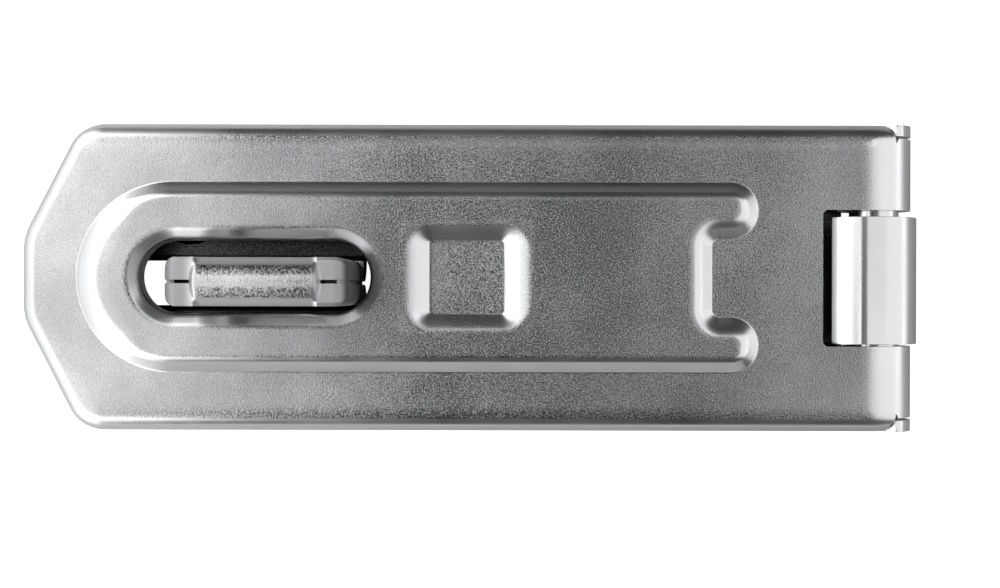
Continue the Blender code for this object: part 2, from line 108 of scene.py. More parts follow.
# Raised panel, slot and pocket
PANEL_WIDTH = 17.0 * MM
PANEL_HEIGHT = 1.2 * MM
PANEL_TOP = ARM_TOP + PANEL_HEIGHT
PANEL_LEFT = ARM_LEFT + 5.0 * MM
PANEL_RIGHT = HINGE_X - 10.85 * MM
PANEL_SLOPE = math.radians(40)
PANEL_SIDE_SLOPE = math.radians(45)
PANEL_FOOT_RADIUS = 0.25 * MM
PANEL_SHOULDER_RADIUS = 2.1 * MM
PANEL_SIDE_RADIUS = 1.2 * MM  # of the shoulder along the two straight sides
PANEL_END_RADIUS = 4.7 * MM  # of the shoulder at the round end
PANEL_END_FADE = (-26 * MM, -32 * MM)  # along X, from the usual shoulder to that one
LOBE_RADIUS = 2.5 * MM
NOTCH_WIDTH = 6.8 * MM
NOTCH_DEPTH = 4.1 * MM
NOTCH_RADIUS = 0.6 * MM
SLOT_X = HINGE_X - 55.3 * MM
SLOT_SIZE = (20.3 * MM, 6.5 * MM)
LIP_MARGIN = 2.8 * MM  # the lip's width, both sides together
LIP_SIZE = (SLOT_SIZE[0] + LIP_MARGIN, SLOT_SIZE[1] + LIP_MARGIN)
LIP_SLOPE = math.radians(30)
LIP_START_RADIUS = 1.3 * MM
LIP_BEND_RADIUS = 0.8 * MM
LIP_DEPTH = 2.6 * MM
POCKET_X = HINGE_X - 36.65 * MM
POCKET_FLOOR = (6.6 * MM, 6.5 * MM)
POCKET_FLOOR_RADIUS = 0.35 * MM
POCKET_MOUTH = (11.5 * MM, 9.6 * MM)
POCKET_MOUTH_RADIUS = 2.6 * MM
POCKET_CURVE = 1.5  # power of the wall's curve, from level at the mouth to steep
POCKET_MARGIN = (-0.04, 1.03)  # level strips round the mouth and the floor, as shares of the wall's width
POCKET_STEP = 0.45 * MM
POCKET_TILT = math.radians(2.5)

# Leaf
LEAF_LEFT = -1.2 * MM
LEAF_SHOULDER = HINGE_X - ARM_ROLL - 0.7 * MM
LEAF_OVERLAP = 1.0 * MM  # how far the knuckle's tongue runs into the plate
HEEL_END = HINGE_X - PIN_RADIUS
HEEL_LENGTH = 4.0 * MM
HEEL_HALF_WIDTH = 7.0 * MM
HEEL_SHEET = 0.4 * MM  # the plate is thinned to pass under the arm's rolls
PLATE_HALF_WIDTH = 11.4 * MM
PLATE_CORNER_RADIUS = 2.0 * MM
PLATE_SHOULDER_RADIUS = 0.4 * MM
SCREW_HOLE = 4.5 * MM
SCREW_HEAD = 7.0 * MM
SCREW_Y = 7.0 * MM
SCREW_END = 4.7 * MM

# Staple
STAPLE_X = SLOT_X + 1.75 * MM
STAPLE_Y = -0.5 * MM
STAPLE_HEIGHT = 20.0 * MM
STAPLE_HALF = 2.0 * MM
LOOP_HALF = 7.5 * MM
LOOP_FOOT = 2.0 * MM  # where the loop's legs start, inside the flanges' bends
LOOP_CORNER_RADIUS = 1.0 * MM
LOOP_END_RADIUS = 1.0 * MM
FOLD_HALF = 4.7 * MM
FOLD_BULGE = 0.45 * MM
FOLD_STEP = (0.3 * MM, 0.25 * MM)  # the step down to the shoulder, before and past the fold's end
FOLD_GAP = 0.3 * MM
FOLD_GROOVE = 0.25 * MM  # depth of the gap between the layers at the loop's ends
SPLIT_START = 0.6 * MM  # from the fold's end
SPLIT_DEPTH = 4.5 * MM
WEB_WIDTH = 0.9 * MM  # joins the layers at the loop's ends
WEB_DROP = 1.3 * MM
SHOULDER_DROP = 0.7 * MM
SHOULDER_FALL = 0.3 * MM  # from the fold's end to the loop's end
SHOULDER_EDGE_DROP = 0.15 * MM
SHOULDER_EDGE_SHARE = 0.15  # of half the loop's thickness
EYE_HALF_WIDTH = 4.5 * MM
EYE_BOTTOM = 6.4 * MM
EYE_TOP = 16.0 * MM
EYE_RADIUS = 3.0 * MM
EYE_CUT = 5.0 * MM
FLANGE_BEND_RADIUS = 0.6 * MM
FLANGE_HALF_LENGTH = 13.2 * MM
FLANGE_TOP = 4.0 * MM  # of the flange's upright, inside the loop's legs
TRIM_PAST = 0.05 * MM
TRIM_TOP = 6.0 * MM

# The photograph's frame, and where its middle falls on the part
PHOTO_WIDTH = 1000
PHOTO_SCALE = 0.08955 * MM  # length of a pixel at the arm's edge
PHOTO_ROLL = math.radians(0.13)
CAMERA_X = 2.52 * MM
CAMERA_Y = -1.46 * MM
CAMERA_HEIGHT = 145 * MM  # above the plane where a pixel has that length
SCALE_PLANE = 5.0 * MM  # height of that plane
CLIP_START = 10 * MM

# Studio light. Each softbox has its middle (degrees from +Z, degrees from +X), its distance from the part's
# middle, its spread (degrees up and across) and its brightness.
SOFTBOXES = {
    "left_key": ((47, 180), 0.085, (34, 84), 2.2),
    "left_low": ((77, 180), 0.085, (24, 84), 1.2),
    "left_top": ((20, 180), 0.112, (12, 47), 1.9),
    "left_back_wing": ((66, 136), 0.15, (40, 28), 1.4),
    "left_front_wing": ((66, 226), 0.15, (40, 34), 1.4),
    "right_fill": ((50, 0), 0.18, (60, 60), 1.1),
    "right_low": ((82, 0), 0.3, (14, 60), 1.0),
    "right_top": ((10, 0), 0.18, (24, 40), 0.12),
    "back_strip": ((24, 90), 0.18, (12, 60), 1.0),
    "front_strip": ((12, 270), 0.18, (10, 60), 0.25),
    "front_low": ((86, 270), 0.18, (14, 90), 0.8),
}
AMBIENT = 0.04
BACKDROP = 0.9
WHITE = (1, 1, 1, 1)
FLOOR_GLOW = 1.0
FLOOR_COLOUR = (0.5, 0.5, 0.5, 1)
FLOOR_ROUGHNESS = 0.9
FLOOR_HALF_WIDTH = 1.5
FLOOR_DROP = 0.2 * MM

# Zinc plate. The ranges are those of a noise that are stretched from one end of an effect to the other.
GRAIN = 0.13 * MM
STAPLE_GRAIN = 0.18 * MM
GRAIN_RANGE = (0.36, 0.72)
GRAIN_DEPTH = 0.25  # of the grain's size
RELIEF_SPREAD = (0.3, 1.7)  # of the dark and of the light grains
CLOUD_SCALE = 110  # per metre
CLOUD_RANGE = (0.3, 0.7)
CLOUD_TONE = 0.3  # how far a cloud shifts the share of light grains, up and down
CLOUD_ROUGHNESS = 0.04
SOFT_EDGE = (0.945, 0.985)  # upward part of the normal where a bend is burnished, and where it is sandy
FOLD_EDGE = (0.68, 0.8)

# Burnished places
RUB_FADE = 0.4 * MM
ROLL_RUB = 0.3 * MM  # past the roll's start
ROLL_FADE = 1.2 * MM
HOLLOW_RISE = 0.3 * MM  # above the pocket's floor

# Painted shade: darker plate where the staple's loop and the knuckle leave their plates, and at the loop's
# ends
FOOT_SHADE_TONE = 0.1
FOOT_REACH = 1.2 * MM
FOOT_RISE = 0.8 * MM
ROOT_SHADE_TONE = 0.04
ROOT_HALF_WIDTH = 4.5 * MM
ROOT_RISE = 1.2 * MM
LOOP_LEFT_SHADE_TONE = 0.24
LOOP_RIGHT_SHADE_TONE = 0.09
LOOP_SHADE_SHIFT = 0.6 * MM  # where the loop's painted shade starts: past the fold on the left, short of the end on the right
SHADE_FADE = 0.7 * MM

# Mesh fineness
GUARD = 0.08 * MM  # width of the flat strip that keeps a curve's shading off the flat beside it
CORNER_STEPS = 14
LEAD_STEPS = 5
BEND_STEPS = 12
WINDOW_STEPS = 6
SLIT_STEPS = 12
ROLL_STEPS = 48
EAR_STEPS = 24
PANEL_STEPS = 20
SLOT_STEPS = 24
POCKET_STEPS = 10
POCKET_ROWS = 16
PLATE_STEPS = 10
CURL_STEPS = 90
CREASE_STEPS = 8
TAIL_STEPS = 12
PIN_STEPS = 96
DOME_STEPS = 4
HOLE_STEPS = 40
FOLD_STATIONS = 6
STEP_STATIONS = 16
STEP_BACK = 0.35 * MM  # the first station at the fold's end
STEP_GAP = 0.08 * MM
CORNER_STATIONS = 10
ACROSS_STEPS = 16
FLANGE_INNER_STEPS = 8
FLANGE_OUTER_STEPS = 12
EDGE_RADIUS = 0.12 * MM
STAPLE_EDGE_RADIUS = 0.1 * MM
EDGE_ANGLE = math.radians(60)
EDGE_SEGMENTS = 2
SMOOTH_ANGLE = math.radians(32)
SHADING_WEIGHT = 80
TINY = 0.0005 * MM
WELD = 0.002 * MM
PLATE_INSET = 0.001 * MM  # keeps joined pieces from sharing a plane
HEEL_INSET = 0.002 * MM
CUT_PAST = 1.0 * MM  # how far a cutter runs past what it cuts

# Placements of a prism: its outline's height goes up, and it is pulled along Y or along X
SIDE_ON = Matrix(((1, 0, 0, 0), (0, 0, -1, 0), (0, 1, 0, 0), (0, 0, 0, 1)))
END_ON = Matrix(((0, 0, 1, 0), (1, 0, 0, 0), (0, 1, 0, 0), (0, 0, 0, 1)))


# Outlines

def outline(corners, steps=CORNER_STEPS):
    """Points of an anticlockwise outline of (x, y, radius) corners, each with its inward normal."""
    points = []
    for i, (x, y, radius) in enumerate(corners):
        here = Vector((x, y))
        before = (here - Vector(corners[i - 1][:2])).normalized()
        after = (Vector(corners[(i + 1) % len(corners)][:2]) - here).normalized()
        turn = math.atan2(before.cross(after), before.dot(after))
        inward = Vector((-before.y, before.x))
        if radius <= TINY:
            points.append((here, inward))
            continue
        side = math.copysign(1, turn)
        centre = here - before * radius * math.tan(abs(turn) / 2) + inward * side * radius
        for k in range(steps + 1):
            normal = inward.copy()
            normal.rotate(Matrix.Rotation(turn * k / steps, 2))
            points.append((centre - normal * side * radius, normal))
    return [p for i, p in enumerate(points) if (p[0] - points[i - 1][0]).length > TINY]


def plan(corners, steps=CORNER_STEPS):
    """An outline's points alone."""
    return [tuple(point) for point, normal in outline(corners, steps)]


def rectangle(x, y, size, radius):
    """Corners of a rectangle about its middle."""
    dx, dy = size[0] / 2, size[1] / 2
    return [(x + sx * dx, y + sy * dy, radius) for sx, sy in ((-1, -1), (1, -1), (1, 1), (-1, 1))]


def arc(centre, radius, start, end, steps):
    """Points on an arc, both ends included."""
    angles = [start + (end - start) * i / steps for i in range(steps + 1)]
    return [(centre[0] + radius * math.cos(a), centre[1] + radius * math.sin(a)) for a in angles]


def bend_start(radius, slope):
    """(distance, rise) round the start of a bend, from level to a slope."""
    angles = [slope * i / LEAD_STEPS for i in range(LEAD_STEPS + 1)]
    return [(radius * math.sin(a), radius * (1 - math.cos(a))) for a in angles]


def smoothstep(low, high, value):
    t = min(max((value - low) / (high - low), 0), 1)
    return t * t * (3 - 2 * t)


# Mesh tools

def strip(bm, outer, inner, closed=True):
    """Faces between two rows of vertices. They face up where the inner row lies to the left of the outer."""
    for i in range(0 if closed else 1, len(outer)):
        bm.faces.new((outer[i - 1], outer[i], inner[i], inner[i - 1]))


def row(bm, points):
    return [bm.verts.new(p) for p in points]


def ring_edges(bm, verts, closed=True):
    """The edges along a row of vertices."""
    pairs = [(verts[i - 1], verts[i]) for i in range(0 if closed else 1, len(verts))]
    return [bm.edges.get(pair) or bm.edges.new(pair) for pair in pairs]


def fill_flat(bm, edges):
    """Fills a level region, holes left open, with faces that look up."""
    made = bmesh.ops.triangle_fill(bm, edges=edges, use_beauty=True, normal=(0, 0, 1))
    for face in made["geom"]:
        if isinstance(face, bmesh.types.BMFace) and face.normal.z < 0:
            face.normal_flip()


def mesh_object(name, bm):
    mesh = bpy.data.meshes.new(name)
    bm.to_mesh(mesh)
    bm.free()
    obj = bpy.data.objects.new(name, mesh)
    bpy.context.scene.collection.objects.link(obj)
    return obj


def prism(name, points, low, high, placement=Matrix.Identity(4)):
    """A flat outline pulled from low to high along its normal."""
    bm = bmesh.new()
    base = bm.faces.new(row(bm, [(x, y, low) for x, y in points]))
    pulled = bmesh.ops.extrude_face_region(bm, geom=[base])["geom"]
    top = [v for v in pulled if isinstance(v, bmesh.types.BMVert)]
    bmesh.ops.translate(bm, vec=(0, 0, high - low), verts=top)
    bmesh.ops.recalc_face_normals(bm, faces=bm.faces)
    bm.transform(placement)
    return mesh_object(name, bm)


def turned(name, profile, placement, steps):
    """A profile of (radius, height) turned round the Z axis."""
    bm = bmesh.new()
    verts = row(bm, [(r, 0, z) for r, z in profile])
    line = ring_edges(bm, verts, closed=False)
    bmesh.ops.spin(bm, geom=verts + line, cent=(0, 0, 0), axis=(0, 0, 1), angle=math.tau, steps=steps,
                   use_merge=True)
    bmesh.ops.remove_doubles(bm, verts=bm.verts, dist=TINY)
    bmesh.ops.recalc_face_normals(bm, faces=bm.faces)
    bm.transform(placement)
    return mesh_object(name, bm)


def boolean(target, tools, operation="DIFFERENCE"):
    """Applies cuts or joins and removes the tools."""
    for tool in tools:
        modifier = target.modifiers.new(tool.name, "BOOLEAN")
        modifier.operation = operation
        modifier.object = tool
    apply_modifiers(target)
    for tool in tools:
        bpy.data.objects.remove(tool)


def apply_modifiers(obj):
    bpy.context.view_layer.update()
    graph = bpy.context.evaluated_depsgraph_get()
    mesh = bpy.data.meshes.new_from_object(obj.evaluated_get(graph))
    obj.modifiers.clear()
    obj.data = mesh
    mesh.name = obj.name


def round_edges(obj, radius=EDGE_RADIUS):
    """Rounds the sheared edges a little, as deburring and plating do."""
    bevel = obj.modifiers.new("edges", "BEVEL")
    bevel.width = radius
    bevel.segments = EDGE_SEGMENTS
    bevel.limit_method = "ANGLE"
    bevel.angle_limit = EDGE_ANGLE
    apply_modifiers(obj)


def dress(obj, node, body, material):
    """Smooths a finished piece and lets it stand for its CAD node."""
    obj.data.shade_smooth()
    obj.data.set_sharp_from_angle(angle=SMOOTH_ANGLE)
    weighted = obj.modifiers.new("shading", "WEIGHTED_NORMAL")
    weighted.keep_sharp = True
    weighted.weight = SHADING_WEIGHT
    apply_modifiers(obj)
    for vertex in obj.data.vertices:
        vertex.co = [min(max(c, low), high) for c, low, high in zip(vertex.co, *CAD_BOX)]
    obj.data.materials.clear()
    obj.data.materials.append(material)
    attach(obj, body)
    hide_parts(node)


# Hasp arm

def edge_profile(lead):
    """(distance in from the outer face, drop) across a folded edge: a gentle start, then a tight bend."""
    start = LEAD_RADIUS * math.sin(lead) + BEND_RADIUS * (1 - math.sin(lead))
    rows = [(start + GUARD, 0.0)]
    rows += [(start - distance, drop) for distance, drop in bend_start(LEAD_RADIUS, lead)]
    sink = LEAD_RADIUS * (1 - math.cos(lead))
    for i in range(1, BEND_STEPS + 1):
        a = lead + (math.pi / 2 - lead) * i / BEND_STEPS
        rows.append((BEND_RADIUS * (1 - math.sin(a)), sink + BEND_RADIUS * (math.cos(lead) - math.cos(a))))
    return rows


def arm_path():
    """The arm's outer edge from the hinge, round the nose and back, with inward normals."""
    half = ARM_WIDTH / 2
    corners = [(ROLL_START, -half, 0), (ROLL_START, half, 0),
               (ARM_LEFT + NOSE_SETBACK, half, SHOULDER_RADIUS), (ARM_LEFT, NOSE_WIDTH / 2, NOSE_RADIUS),
               (ARM_LEFT, -NOSE_WIDTH / 2, NOSE_RADIUS), (ARM_LEFT + NOSE_SETBACK, -half, SHOULDER_RADIUS)]
    up, down = Vector((0, 1)), Vector((0, -1))
    ends = [(Vector((ROLL_START, half)), down), (Vector((ROLL_START - GUARD, half)), down)]
    returns = [(Vector((ROLL_START - GUARD, -half)), up), (Vector((ROLL_START, -half)), up)]
    return ends + outline(corners)[2:] + returns


def arm_walls(bm):
    """The folded edge and the side wall. Returns the flat's edge, from just short of the hinge and back."""
    path = arm_path()
    profile = edge_profile(LEAD_ANGLE)
    rows = [row(bm, [(*(p + n * d), ARM_TOP - drop) for p, n in path]) for d, drop in profile]
    rows.append(row(bm, [(*p, ARM_FOOT) for p, n in path]))
    for inner, outer in zip(rows, rows[1:]):
        strip(bm, outer, inner, closed=False)
    return rows[0]


def roll_angles():
    """Angles from the roll's top to its end, with one at the slit."""
    lead = [SLIT_ANGLE * i / SLIT_STEPS for i in range(SLIT_STEPS + 1)]
    rest = ROLL_END - SLIT_ANGLE
    return lead + [SLIT_ANGLE + rest * i / ROLL_STEPS for i in range(1, ROLL_STEPS + 1)]


def on_roll(radius, angle, y):
    """A point on the roll, by its angle from the top. The first quarter is stretched back to its start."""
    lead = ROLL_LEAD if angle < math.pi / 2 else 0
    return (HINGE_X - lead + (radius + lead) * math.sin(angle), y, HINGE_Z + radius * math.cos(angle))


def arm_ear(bm, wall, side):
    """The side wall's end beside the roll, from the last vertices of the folded edge."""
    tip = [(SLIT_ANGLE + angle, ARM_ROLL - depth) for angle, depth in EAR_CORNER]
    start, span = SLIT_ANGLE + EAR_ROUND, math.pi - SLIT_ANGLE - EAR_ROUND
    tip += [(start + span * i / EAR_STEPS, ARM_ROLL) for i in range(EAR_STEPS + 1)]
    face = bm.faces.new(wall + row(bm, [on_roll(radius, a, side * ARM_WIDTH / 2) for a, radius in tip]))
    face.normal_update()
    if face.normal.y * side < 0:
        face.normal_flip()


def arm_hinge_side(bm, side):
    """One roll, and the side wall's ear beside it, freed from the roll by a slit."""
    half = ARM_WIDTH / 2
    angles = roll_angles()
    slit = angles.index(SLIT_ANGLE)
    profiles = [edge_profile(LEAD_ANGLE * (1 - LEAD_LOSS * i / slit)) for i in range(slit + 1)]
    corner = [row(bm, [on_roll(ARM_ROLL - drop, a, side * (half - d)) for d, drop in profile])
              for a, profile in zip(angles, profiles)]
    for before, after in zip(corner, corner[1:]):
        strip(bm, after if side > 0 else before, before if side > 0 else after, closed=False)

    window = row(bm, [on_roll(ARM_ROLL, a, side * WINDOW_HALF_WIDTH) for a in angles])
    edge = [first[0] for first in corner]
    edge += row(bm, [on_roll(ARM_ROLL, a, side * ROLL_SIDE) for a in angles[slit + 1:]])
    strip(bm, window if side > 0 else edge, edge if side > 0 else window, closed=False)
    arm_ear(bm, [last[-1] for last in corner], side)


def window_edge():
    """The edge of the window for the leaf's knuckle, from the upper roll to the lower."""
    left, half, r = WINDOW_LEFT, WINDOW_HALF_WIDTH, WINDOW_RADIUS
    upper = [(ROLL_START - GUARD, half)]
    upper += arc((left + r, half - r), r, math.pi / 2, math.pi, WINDOW_STEPS)
    return upper + [(x, -y) for x, y in reversed(upper)]


def panel_outline():
    """Foot of the raised panel: round at the free end, two lobes and a notch towards the hinge."""
    half, notch = PANEL_WIDTH / 2, NOTCH_WIDTH / 2
    lower = [(PANEL_RIGHT, -half, LOBE_RADIUS), (PANEL_RIGHT, -notch, LOBE_RADIUS),
             (PANEL_RIGHT - NOTCH_DEPTH, -notch, NOTCH_RADIUS)]
    upper = [(x, -y, radius) for x, y, radius in reversed(lower)]
    return outline(lower + upper + [(PANEL_LEFT, half, half), (PANEL_LEFT, -half, half)], PANEL_STEPS)


def panel_profile(shoulder, slope):
    """(distance in, rise) up the panel's side: a crisp foot, a slope and a round shoulder."""
    foot = PANEL_FOOT_RADIUS
    sine, cosine = math.sin(slope), math.cos(slope)
    straight = (PANEL_HEIGHT - (foot + shoulder) * (1 - cosine)) / sine
    rows = [(-GUARD, 0.0)] + bend_start(foot, slope)
    x, z = rows[-1][0] + straight * cosine, rows[-1][1] + straight * sine
    for i in range(BEND_STEPS + 1):
        a = slope * (1 - i / BEND_STEPS)
        rows.append((x + shoulder * (sine - math.sin(a)), z + shoulder * (math.cos(a) - cosine)))
    rows.append((rows[-1][0] + GUARD, PANEL_HEIGHT))
    return rows


def panel_shoulder(point):
    """(radius, slope) of the panel's shoulder: full at the round end, tight and steep along the sides."""
    end = smoothstep(*PANEL_END_FADE, point.x)
    side = smoothstep(PANEL_WIDTH / 2 - LOBE_RADIUS, PANEL_WIDTH / 2, abs(point.y))
    radius = PANEL_SHOULDER_RADIUS + (PANEL_END_RADIUS - PANEL_SHOULDER_RADIUS) * end
    radius += (PANEL_SIDE_RADIUS - radius) * side
    return radius, PANEL_SLOPE + (PANEL_SIDE_SLOPE - PANEL_SLOPE) * side


def arm_panel(bm):
    """The panel's sloping side. Returns its outer and inner rows."""
    sides = []
    for p, n in panel_outline():
        profile = panel_profile(*panel_shoulder(p))
        sides.append([(*(p + n * d), ARM_TOP + rise) for d, rise in profile])
    rows = [row(bm, points) for points in zip(*sides)]
    for outer, inner in zip(rows, rows[1:]):
        strip(bm, outer, inner)
    return rows[0], rows[-1]


def lip_profile():
    """(distance in, drop) down the slot's lip: a soft start, a slope, and a bend into the slot's wall."""
    start, slope, bend = LIP_START_RADIUS, LIP_SLOPE, LIP_BEND_RADIUS
    sine, cosine = math.sin(slope), math.cos(slope)
    width = (LIP_SIZE[1] - SLOT_SIZE[1]) / 2
    straight = width - start * sine - bend * (1 - sine)
    rows = [(-GUARD, 0.0)] + bend_start(start, slope)
    x, drop = rows[-1][0] + straight, rows[-1][1] + straight * math.tan(slope)
    for i in range(BEND_STEPS + 1):
        a = slope + (math.pi / 2 - slope) * i / BEND_STEPS
        rows.append((x + bend * (math.sin(a) - sine), drop + bend * (cosine - math.cos(a))))
    rows.append((width, LIP_DEPTH))
    return rows


def arm_slot(bm):
    """The slot's rolled-down lip. Returns the row where it leaves the flat."""
    path = outline(rectangle(SLOT_X, 0, LIP_SIZE, LIP_SIZE[1] / 2), SLOT_STEPS)
    rows = [row(bm, [(*(p + n * d), PANEL_TOP - drop) for p, n in path]) for d, drop in lip_profile()]
    for a, b in zip(rows, rows[1:]):
        strip(bm, a, b)
    return rows[0]


def between(bm, outer, inner, profile):
    """Rows of vertices from one outline to another of the same count, at (share, height) steps."""
    return [row(bm, [(*a[0].lerp(b[0], share), z) for a, b in zip(outer, inner)]) for share, z in profile]


def arm_pocket(bm):
    """The square pocket: a round mouth and a sheared step to a tilted floor. Returns the mouth's row."""
    mouth = outline(rectangle(POCKET_X, 0, POCKET_MOUTH, POCKET_MOUTH_RADIUS), POCKET_STEPS)
    floor = outline(rectangle(POCKET_X, 0, POCKET_FLOOR, POCKET_FLOOR_RADIUS), POCKET_STEPS)
    profile = [(POCKET_MARGIN[0], PANEL_TOP)]
    for i in range(POCKET_ROWS + 1):
        share = i / POCKET_ROWS
        profile.append((share, PANEL_TOP - (PANEL_HEIGHT - POCKET_STEP) * share ** POCKET_CURVE))
    profile += [(1.0, ARM_TOP), (POCKET_MARGIN[1], ARM_TOP)]
    rows = between(bm, mouth, floor, profile)
    for vert in rows[-2] + rows[-1]:
        vert.co.z += math.tan(POCKET_TILT) * (vert.co.x - POCKET_X)
    for a, b in zip(rows, rows[1:]):
        strip(bm, a, b)
    fill_flat(bm, ring_edges(bm, rows[-1]))
    return rows[0]


def arm_flats(bm, flat_edge):
    """The level parts of the arm, between its folded edge, the window, the panel, the slot and the pocket."""
    foot, crown = arm_panel(bm)
    lip, mouth = arm_slot(bm), arm_pocket(bm)
    for side in (1, -1):
        arm_hinge_side(bm, side)
    window = row(bm, [(x, y, ARM_TOP) for x, y in window_edge()])
    starts = flat_edge[1:-1]
    border = []
    for line in (starts, window, (starts[0], window[0]), (starts[-1], window[-1])):
        border += ring_edges(bm, line, closed=False)
    fill_flat(bm, border + ring_edges(bm, foot))
    fill_flat(bm, ring_edges(bm, crown) + ring_edges(bm, lip) + ring_edges(bm, mouth))
    for end, flat, level, side in ((flat_edge[0], starts[0], window[0], 1),
                                   (flat_edge[-1], starts[-1], window[-1], -1)):
        hem = bm.verts.new((ROLL_START, side * WINDOW_HALF_WIDTH, ARM_TOP))
        face = bm.faces.new((level, hem, end, flat))
        face.normal_update()
        if face.normal.z < 0:
            face.normal_flip()


def make_arm():
    """The pressed arm: its outer face, thickened inwards to the sheet."""
    bm = bmesh.new()
    arm_flats(bm, arm_walls(bm))
    bmesh.ops.remove_doubles(bm, verts=bm.verts, dist=WELD)
    arm = mesh_object("arm", bm)
    sheet = arm.modifiers.new("sheet", "SOLIDIFY")
    sheet.thickness = ARM_SHEET
    sheet.offset = -1
    sheet.use_even_offset = True
    apply_modifiers(arm)
    round_edges(arm)
    return arm


# Hinge leaf and pin

def screw_hole(x, y, sheet):
    """A countersunk clearance hole's cutter."""
    hole, head = SCREW_HOLE / 2, SCREW_HEAD / 2
    depth = (SCREW_HEAD - SCREW_HOLE) / 2
    profile = [(0.0, -CUT_PAST), (hole, -CUT_PAST), (hole, sheet - depth),
               (head, sheet), (head, sheet + CUT_PAST), (0.0, sheet + CUT_PAST)]
    return turned("screw_hole", profile, Matrix.Translation((x, y, 0)), HOLE_STEPS)


def curl_tail(top):
    """Outline of the curl's end, past its round: a flat, a crease, an open curve, and back inside."""
    def towards(angle):
        return Vector((math.cos(angle), math.sin(angle)))

    flat_end = Vector(top) + LEAF_FLAT * towards(LEAF_CURL_END + math.pi / 2)
    crease = flat_end - LEAF_CREASE_RADIUS * towards(LEAF_CURL_END)
    middle = crease - (LEAF_TAIL_RADIUS - LEAF_CREASE_RADIUS) * towards(LEAF_CREASE)
    outside = arc(crease, LEAF_CREASE_RADIUS, LEAF_CURL_END, LEAF_CREASE, CREASE_STEPS)
    outside += arc(middle, LEAF_TAIL_RADIUS, LEAF_CREASE, LEAF_TAIL_END, TAIL_STEPS)[1:]
    return outside + arc(middle, LEAF_TAIL_RADIUS - LEAF_SHEET, LEAF_TAIL_END, LEAF_CREASE, TAIL_STEPS)


def leaf_plate():
    """The screw plate and the thin heel that runs from it under the arm's rolls."""
    half, r, shoulder = PLATE_HALF_WIDTH, PLATE_CORNER_RADIUS, PLATE_SHOULDER_RADIUS
    corners = [(LEAF_LEFT, -half, r), (LEAF_SHOULDER, -half, shoulder),
               (LEAF_SHOULDER, half, shoulder), (LEAF_LEFT, half, r)]
    plate = prism("plate", plan(corners, PLATE_STEPS), PLATE_INSET, LEAF_SHEET - PLATE_INSET)
    heel = rectangle(HEEL_END - HEEL_LENGTH / 2, 0, (HEEL_LENGTH, 2 * HEEL_HALF_WIDTH), 0)
    return [plate, prism("heel", plan(heel), HEEL_INSET, HEEL_SHEET)]


def make_leaf():
    """The screw plate, with its tongue curled round the pin."""
    centre = (HINGE_X, HINGE_Z)
    outer = arc(centre, LEAF_ROLL, -math.pi / 2, LEAF_CURL_END, CURL_STEPS)
    inner = arc(centre, LEAF_BORE, LEAF_CURL_END, -math.pi / 2, CURL_STEPS)
    start = LEAF_SHOULDER - LEAF_OVERLAP
    section = [(start, 0)] + outer + curl_tail(outer[-1]) + inner + [(start, LEAF_SHEET)]
    leaf = prism("leaf", section, -KNUCKLE_HIGH, -KNUCKLE_LOW, SIDE_ON)
    boolean(leaf, leaf_plate(), "UNION")
    boolean(leaf, [screw_hole(x, y, LEAF_SHEET) for x in (LEAF_LEFT + SCREW_END, LEAF_SHOULDER - SCREW_END)
                   for y in (-SCREW_Y, SCREW_Y)])
    round_edges(leaf)
    return leaf


def make_pin():
    """The hinge pin, with slightly domed ends."""
    length, r, dome = PIN_HALF_LENGTH, PIN_RADIUS, PIN_DOME
    angles = [math.pi / 2 / DOME_STEPS * i for i in range(DOME_STEPS + 1)]
    end = [(r - dome * (1 - math.cos(a)), length - dome + dome * math.sin(a)) for a in angles]
    profile = [(0.0, -length)] + [(x, -z) for x, z in reversed(end)] + end + [(0.0, length)]
    return turned("pin", profile, Matrix.Translation((HINGE_X, 0, HINGE_Z)) @ SIDE_ON, PIN_STEPS)


# Staple

def loop_width(x):
    """Half the loop's thickness, rounded in plan at its ends."""
    into = max(abs(x) - (LOOP_HALF - LOOP_END_RADIUS), 0)
    return STAPLE_HALF - LOOP_END_RADIUS + math.sqrt(max(LOOP_END_RADIUS ** 2 - into ** 2, 0))


def loop_height(x, y, half):
    """Height of the loop's top: a half-round fold, and flat sheared shoulders beyond its ends."""
    fold = STAPLE_HEIGHT - STAPLE_HALF + math.sqrt(max(STAPLE_HALF ** 2 - y * y, 0))
    into = max(abs(x) - (LOOP_HALF - LOOP_CORNER_RADIUS), 0)
    corner = LOOP_CORNER_RADIUS - math.sqrt(max(LOOP_CORNER_RADIUS ** 2 - into ** 2, 0))
    fall = SHOULDER_FALL * (abs(x) - FOLD_HALF) / (LOOP_HALF - FOLD_HALF)
    past = max(abs(y) / half - (1 - SHOULDER_EDGE_SHARE), 0)
    edge = SHOULDER_EDGE_DROP * past / SHOULDER_EDGE_SHARE
    shoulder = STAPLE_HEIGHT - SHOULDER_DROP - fall - corner - edge
    end = FOLD_HALF + FOLD_BULGE * (1 - (y / STAPLE_HALF) ** 2)
    return fold + (shoulder - fold) * smoothstep(end - FOLD_STEP[0], end + FOLD_STEP[1], abs(x))


def loop_stations():
    """Where the loop's top is sampled along X: closely at the fold's ends and the corners."""
    fold, corner = FOLD_HALF, LOOP_HALF - LOOP_CORNER_RADIUS
    half = [fold * i / FOLD_STATIONS for i in range(FOLD_STATIONS)]
    half += [fold - STEP_BACK + STEP_GAP * i for i in range(STEP_STATIONS)]
    turns = [math.pi / 2 * i / CORNER_STATIONS for i in range(CORNER_STATIONS + 1)]
    half += [corner + LOOP_CORNER_RADIUS * math.sin(a) for a in turns]
    return [-x for x in reversed(half[1:])] + half


def loop_eye():
    """The padlock eye's cutter."""
    low, high, half, r = EYE_BOTTOM, EYE_TOP, EYE_HALF_WIDTH, EYE_RADIUS
    corners = [(-half, low, r), (half, low, r), (half, high, r), (-half, high, r)]
    return prism("eye", plan(corners), -EYE_CUT, EYE_CUT, SIDE_ON)


